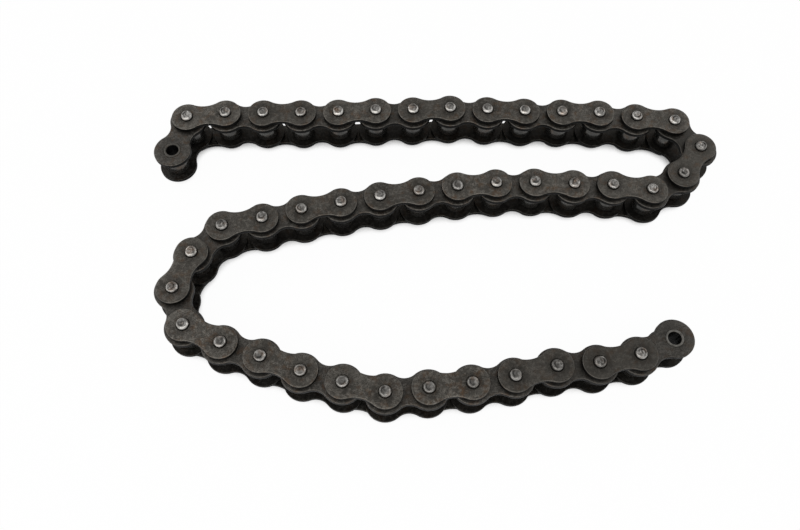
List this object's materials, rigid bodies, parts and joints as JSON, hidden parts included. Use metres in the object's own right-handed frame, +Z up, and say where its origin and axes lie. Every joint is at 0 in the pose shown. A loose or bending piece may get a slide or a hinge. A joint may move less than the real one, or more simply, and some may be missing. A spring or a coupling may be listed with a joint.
{
  "type": "roller chain",
  "caption": "Length of single-strand roller chain with riveted pins, laid on its side in a loose S, with an open bush at each end for a connecting link.",
  "frame": {"origin": "centre of the laid chain's footprint, on the surface it lies on, level with the lower pin ends", "axes": "+X along the runs of the S towards its right turn, +Y towards the far run, +Z up along every pin"},
  "size_m": [0.188, 0.1124, 0.0165],
  "materials": {
    "outer_link_steel": "dark oxide with a thin oil film, rubbed lighter along the edges; pin ends bare and peened",
    "inner_link_steel": "dark oxide with a thin oil film",
    "roller_steel": "smooth near-black, oiled"
  },
  "bodies": {
    "outer_link_22": {"outer_link_22": "outer_link_steel"},
    "inner_link_01": {"inner_link_01": "inner_link_steel"},
    "outer_link_02": {"outer_link_02": "outer_link_steel"},
    "inner_link_03": {"inner_link_03": "inner_link_steel"},
    "outer_link_04": {"outer_link_04": "outer_link_steel"},
    "inner_link_05": {"inner_link_05": "inner_link_steel"},
    "outer_link_06": {"outer_link_06": "outer_link_steel"},
    "inner_link_07": {"inner_link_07": "inner_link_steel"},
    "outer_link_08": {"outer_link_08": "outer_link_steel"},
    "inner_link_09": {"inner_link_09": "inner_link_steel"},
    "outer_link_10": {"outer_link_10": "outer_link_steel"},
    "inner_link_11": {"inner_link_11": "inner_link_steel"},
    "outer_link_12": {"outer_link_12": "outer_link_steel"},
    "inner_link_13": {"inner_link_13": "inner_link_steel"},
    "outer_link_14": {"outer_link_14": "outer_link_steel"},
    "inner_link_15": {"inner_link_15": "inner_link_steel"},
    "outer_link_16": {"outer_link_16": "outer_link_steel"},
    "inner_link_17": {"inner_link_17": "inner_link_steel"},
    "outer_link_18": {"outer_link_18": "outer_link_steel"},
    "inner_link_19": {"inner_link_19": "inner_link_steel"},
    "outer_link_20": {"outer_link_20": "outer_link_steel"},
    "inner_link_21": {"inner_link_21": "inner_link_steel"},
    "inner_link_23": {"inner_link_23": "inner_link_steel"},
    "outer_link_24": {"outer_link_24": "outer_link_steel"},
    "inner_link_25": {"inner_link_25": "inner_link_steel"},
    "outer_link_26": {"outer_link_26": "outer_link_steel"},
    "inner_link_27": {"inner_link_27": "inner_link_steel"},
    "outer_link_28": {"outer_link_28": "outer_link_steel"},
    "inner_link_29": {"inner_link_29": "inner_link_steel"},
    "outer_link_30": {"outer_link_30": "outer_link_steel"},
    "inner_link_31": {"inner_link_31": "inner_link_steel"},
    "outer_link_32": {"outer_link_32": "outer_link_steel"},
    "inner_link_33": {"inner_link_33": "inner_link_steel"},
    "outer_link_34": {"outer_link_34": "outer_link_steel"},
    "inner_link_35": {"inner_link_35": "inner_link_steel"},
    "outer_link_36": {"outer_link_36": "outer_link_steel"},
    "inner_link_37": {"inner_link_37": "inner_link_steel"},
    "outer_link_38": {"outer_link_38": "outer_link_steel"},
    "inner_link_39": {"inner_link_39": "inner_link_steel"},
    "outer_link_40": {"outer_link_40": "outer_link_steel"},
    "inner_link_41": {"inner_link_41": "inner_link_steel"},
    "outer_link_42": {"outer_link_42": "outer_link_steel"},
    "inner_link_43": {"inner_link_43": "inner_link_steel"},
    "roller_01a": {"roller_01a": "roller_steel"},
    "roller_01b": {"roller_01b": "roller_steel"},
    "roller_03a": {"roller_03a": "roller_steel"},
    "roller_03b": {"roller_03b": "roller_steel"},
    "roller_05a": {"roller_05a": "roller_steel"},
    "roller_05b": {"roller_05b": "roller_steel"},
    "roller_07a": {"roller_07a": "roller_steel"},
    "roller_07b": {"roller_07b": "roller_steel"},
    "roller_37a": {"roller_37a": "roller_steel"},
    "roller_37b": {"roller_37b": "roller_steel"},
    "roller_39a": {"roller_39a": "roller_steel"},
    "roller_39b": {"roller_39b": "roller_steel"},
    "roller_41a": {"roller_41a": "roller_steel"},
    "roller_41b": {"roller_41b": "roller_steel"},
    "roller_43a": {"roller_43a": "roller_steel"},
    "roller_43b": {"roller_43b": "roller_steel"}
  },
  "joints": [
    {"name": "pin_01_turn", "type": "hinge", "parent": "outer_link_02", "child": "inner_link_01", "pos_m": [-0.08437, 0.04172, 0.00825], "axis": [0, 0, -1], "range_deg": [-32, 60]},
    {"name": "roller_01a_spin", "type": "hinge", "parent": "inner_link_01", "child": "roller_01a", "pos_m": [-0.08787, 0.02951, 0.00825], "axis": [0, 0, 1], "continuous": true},
    {"name": "roller_01b_spin", "type": "hinge", "parent": "inner_link_01", "child": "roller_01b", "pos_m": [-0.08437, 0.04172, 0.00825], "axis": [0, 0, 1], "continuous": true},
    {"name": "pin_02_turn", "type": "hinge", "parent": "inner_link_03", "child": "outer_link_02", "pos_m": [-0.07186, 0.04393, 0.00825], "axis": [0, 0, 1], "range_deg": [-60, 60]},
    {"name": "pin_03_turn", "type": "hinge", "parent": "outer_link_04", "child": "inner_link_03", "pos_m": [-0.05918, 0.04459, 0.00825], "axis": [0, 0, -1], "range_deg": [-40, 60]},
    {"name": "pin_04_turn", "type": "hinge", "parent": "inner_link_05", "child": "outer_link_04", "pos_m": [-0.04649, 0.04525, 0.00825], "axis": [0, 0, 1], "range_deg": [-60, 27]},
    {"name": "pin_05_turn", "type": "hinge", "parent": "outer_link_06", "child": "inner_link_05", "pos_m": [-0.03382, 0.04614, 0.00825], "axis": [0, 0, -1], "range_deg": [-22, 60]},
    {"name": "pin_06_turn", "type": "hinge", "parent": "inner_link_07", "child": "outer_link_06", "pos_m": [-0.02119, 0.04747, 0.00825], "axis": [0, 0, 1], "range_deg": [-60, 18]},
    {"name": "pin_07_turn", "type": "hinge", "parent": "outer_link_08", "child": "inner_link_07", "pos_m": [-0.00852, 0.04835, 0.00825], "axis": [0, 0, -1], "range_deg": [-15, 60]},
    {"name": "pin_08_turn", "type": "hinge", "parent": "inner_link_09", "child": "outer_link_08", "pos_m": [0.00411, 0.04968, 0.00825], "axis": [0, 0, 1], "range_deg": [-60, 13]},
    {"name": "pin_09_turn", "type": "hinge", "parent": "outer_link_10", "child": "inner_link_09", "pos_m": [0.01681, 0.04968, 0.00825], "axis": [0, 0, -1], "range_deg": [-12, 60]},
    {"name": "pin_10_turn", "type": "hinge", "parent": "inner_link_11", "child": "outer_link_10", "pos_m": [0.02951, 0.04968, 0.00825], "axis": [0, 0, 1], "range_deg": [-60, 11]},
    {"name": "pin_11_turn", "type": "hinge", "parent": "outer_link_12", "child": "inner_link_11", "pos_m": [0.0422, 0.0499, 0.00825], "axis": [0, 0, -1], "range_deg": [-10, 60]},
    {"name": "pin_12_turn", "type": "hinge", "parent": "inner_link_13", "child": "outer_link_12", "pos_m": [0.0549, 0.05012, 0.00825], "axis": [0, 0, 1], "range_deg": [-60, 9]},
    {"name": "pin_13_turn", "type": "hinge", "parent": "outer_link_14", "child": "inner_link_13", "pos_m": [0.06757, 0.04924, 0.00825], "axis": [0, 0, -1], "range_deg": [-8, 60]},
    {"name": "pin_14_turn", "type": "hinge", "parent": "inner_link_15", "child": "outer_link_14", "pos_m": [0.08022, 0.04813, 0.00825], "axis": [0, 0, 1], "range_deg": [-60, 8]},
    {"name": "pin_15_turn", "type": "hinge", "parent": "outer_link_16", "child": "inner_link_15", "pos_m": [0.08787, 0.03799, 0.00825], "axis": [0, 0, -1], "range_deg": [-8, 60]},
    {"name": "pin_16_turn", "type": "hinge", "parent": "inner_link_17", "child": "outer_link_16", "pos_m": [0.08095, 0.02734, 0.00825], "axis": [0, 0, 1], "range_deg": [-60, 9]},
    {"name": "pin_17_turn", "type": "hinge", "parent": "outer_link_18", "child": "inner_link_17", "pos_m": [0.07006, 0.0208, 0.00825], "axis": [0, 0, -1], "range_deg": [-10, 60]},
    {"name": "pin_18_turn", "type": "hinge", "parent": "inner_link_19", "child": "outer_link_18", "pos_m": [0.05741, 0.0219, 0.00825], "axis": [0, 0, 1], "range_deg": [-60, 11]},
    {"name": "pin_19_turn", "type": "hinge", "parent": "outer_link_20", "child": "inner_link_19", "pos_m": [0.04471, 0.02168, 0.00825], "axis": [0, 0, -1], "range_deg": [-12, 60]},
    {"name": "pin_20_turn", "type": "hinge", "parent": "inner_link_21", "child": "outer_link_20", "pos_m": [0.03201, 0.02168, 0.00825], "axis": [0, 0, 1], "range_deg": [-55, 13]},
    {"name": "pin_21_turn", "type": "hinge", "parent": "outer_link_22", "child": "inner_link_21", "pos_m": [0.01934, 0.0208, 0.00825], "axis": [0, 0, -1], "range_deg": [-15, 44]},
    {"name": "pin_22_turn", "type": "hinge", "parent": "outer_link_22", "child": "inner_link_23", "pos_m": [0.00677, 0.01903, 0.00825], "axis": [0, 0, -1], "range_deg": [-34, 17]},
    {"name": "pin_23_turn", "type": "hinge", "parent": "inner_link_23", "child": "outer_link_24", "pos_m": [-0.0057, 0.01661, 0.00825], "axis": [0, 0, 1], "range_deg": [-20, 29]},
    {"name": "pin_24_turn", "type": "hinge", "parent": "outer_link_24", "child": "inner_link_25", "pos_m": [-0.01817, 0.01418, 0.00825], "axis": [0, 0, -1], "range_deg": [-24, 25]},
    {"name": "pin_25_turn", "type": "hinge", "parent": "inner_link_25", "child": "outer_link_26", "pos_m": [-0.03054, 0.01133, 0.00825], "axis": [0, 0, 1], "range_deg": [-32, 21]},
    {"name": "pin_26_turn", "type": "hinge", "parent": "outer_link_26", "child": "inner_link_27", "pos_m": [-0.04286, 0.00825, 0.00825], "axis": [0, 0, -1], "range_deg": [-18, 45]},
    {"name": "pin_27_turn", "type": "hinge", "parent": "inner_link_27", "child": "outer_link_28", "pos_m": [-0.05501, 0.00454, 0.00825], "axis": [0, 0, 1], "range_deg": [-60, 16]},
    {"name": "pin_28_turn", "type": "hinge", "parent": "outer_link_28", "child": "inner_link_29", "pos_m": [-0.06728, 0.00125, 0.00825], "axis": [0, 0, -1], "range_deg": [-14, 60]},
    {"name": "pin_29_turn", "type": "hinge", "parent": "inner_link_29", "child": "outer_link_30", "pos_m": [-0.07544, -0.00848, 0.00825], "axis": [0, 0, 1], "range_deg": [-60, 13]},
    {"name": "pin_30_turn", "type": "hinge", "parent": "outer_link_30", "child": "inner_link_31", "pos_m": [-0.07936, -0.02055, 0.00825], "axis": [0, 0, -1], "range_deg": [-13, 60]},
    {"name": "pin_31_turn", "type": "hinge", "parent": "inner_link_31", "child": "outer_link_32", "pos_m": [-0.0744, -0.03224, 0.00825], "axis": [0, 0, 1], "range_deg": [-60, 14]},
    {"name": "pin_32_turn", "type": "hinge", "parent": "outer_link_32", "child": "inner_link_33", "pos_m": [-0.06271, -0.03721, 0.00825], "axis": [0, 0, -1], "range_deg": [-16, 60]},
    {"name": "pin_33_turn", "type": "hinge", "parent": "inner_link_33", "child": "outer_link_34", "pos_m": [-0.05057, -0.04092, 0.00825], "axis": [0, 0, 1], "range_deg": [-60, 18]},
    {"name": "pin_34_turn", "type": "hinge", "parent": "outer_link_34", "child": "inner_link_35", "pos_m": [-0.03849, -0.04484, 0.00825], "axis": [0, 0, -1], "range_deg": [-20, 60]},
    {"name": "pin_35_turn", "type": "hinge", "parent": "inner_link_35", "child": "outer_link_36", "pos_m": [-0.02611, -0.0477, 0.00825], "axis": [0, 0, 1], "range_deg": [-60, 23]},
    {"name": "pin_36_turn", "type": "hinge", "parent": "outer_link_36", "child": "inner_link_37", "pos_m": [-0.01365, -0.05012, 0.00825], "axis": [0, 0, -1], "range_deg": [-28, 60]},
    {"name": "pin_37_turn", "type": "hinge", "parent": "inner_link_37", "child": "outer_link_38", "pos_m": [-0.00107, -0.04836, 0.00825], "axis": [0, 0, 1], "range_deg": [-60, 34]},
    {"name": "pin_38_turn", "type": "hinge", "parent": "outer_link_38", "child": "inner_link_39", "pos_m": [0.01147, -0.04637, 0.00825], "axis": [0, 0, -1], "range_deg": [-46, 60]},
    {"name": "pin_39_turn", "type": "hinge", "parent": "inner_link_39", "child": "outer_link_40", "pos_m": [0.0239, -0.04373, 0.00825], "axis": [0, 0, 1], "range_deg": [-60, 60]},
    {"name": "pin_40_turn", "type": "hinge", "parent": "outer_link_40", "child": "inner_link_41", "pos_m": [0.0361, -0.04023, 0.00825], "axis": [0, 0, -1], "range_deg": [-60, 60]},
    {"name": "pin_41_turn", "type": "hinge", "parent": "inner_link_41", "child": "outer_link_42", "pos_m": [0.04871, -0.03868, 0.00825], "axis": [0, 0, 1], "range_deg": [-60, 60]},
    {"name": "pin_42_turn", "type": "hinge", "parent": "outer_link_42", "child": "inner_link_43", "pos_m": [0.06103, -0.03561, 0.00825], "axis": [0, 0, -1], "range_deg": [-60, 60]},
    {"name": "roller_03a_spin", "type": "hinge", "parent": "inner_link_03", "child": "roller_03a", "pos_m": [-0.07186, 0.04393, 0.00825], "axis": [0, 0, 1], "continuous": true},
    {"name": "roller_03b_spin", "type": "hinge", "parent": "inner_link_03", "child": "roller_03b", "pos_m": [-0.05918, 0.04459, 0.00825], "axis": [0, 0, 1], "continuous": true},
    {"name": "roller_05a_spin", "type": "hinge", "parent": "inner_link_05", "child": "roller_05a", "pos_m": [-0.04649, 0.04525, 0.00825], "axis": [0, 0, 1], "continuous": true},
    {"name": "roller_05b_spin", "type": "hinge", "parent": "inner_link_05", "child": "roller_05b", "pos_m": [-0.03382, 0.04614, 0.00825], "axis": [0, 0, 1], "continuous": true},
    {"name": "roller_07a_spin", "type": "hinge", "parent": "inner_link_07", "child": "roller_07a", "pos_m": [-0.02119, 0.04747, 0.00825], "axis": [0, 0, 1], "continuous": true},
    {"name": "roller_07b_spin", "type": "hinge", "parent": "inner_link_07", "child": "roller_07b", "pos_m": [-0.00852, 0.04835, 0.00825], "axis": [0, 0, 1], "continuous": true},
    {"name": "roller_37a_spin", "type": "hinge", "parent": "inner_link_37", "child": "roller_37a", "pos_m": [-0.01365, -0.05012, 0.00825], "axis": [0, 0, 1], "continuous": true},
    {"name": "roller_37b_spin", "type": "hinge", "parent": "inner_link_37", "child": "roller_37b", "pos_m": [-0.00107, -0.04836, 0.00825], "axis": [0, 0, 1], "continuous": true},
    {"name": "roller_39a_spin", "type": "hinge", "parent": "inner_link_39", "child": "roller_39a", "pos_m": [0.01147, -0.04637, 0.00825], "axis": [0, 0, 1], "continuous": true},
    {"name": "roller_39b_spin", "type": "hinge", "parent": "inner_link_39", "child": "roller_39b", "pos_m": [0.0239, -0.04373, 0.00825], "axis": [0, 0, 1], "continuous": true},
    {"name": "roller_41a_spin", "type": "hinge", "parent": "inner_link_41", "child": "roller_41a", "pos_m": [0.0361, -0.04023, 0.00825], "axis": [0, 0, 1], "continuous": true},
    {"name": "roller_41b_spin", "type": "hinge", "parent": "inner_link_41", "child": "roller_41b", "pos_m": [0.04871, -0.03868, 0.00825], "axis": [0, 0, 1], "continuous": true},
    {"name": "roller_43a_spin", "type": "hinge", "parent": "inner_link_43", "child": "roller_43a", "pos_m": [0.06103, -0.03561, 0.00825], "axis": [0, 0, 1], "continuous": true},
    {"name": "roller_43b_spin", "type": "hinge", "parent": "inner_link_43", "child": "roller_43b", "pos_m": [0.07225, -0.02965, 0.00825], "axis": [0, 0, 1], "continuous": true}
  ]
}
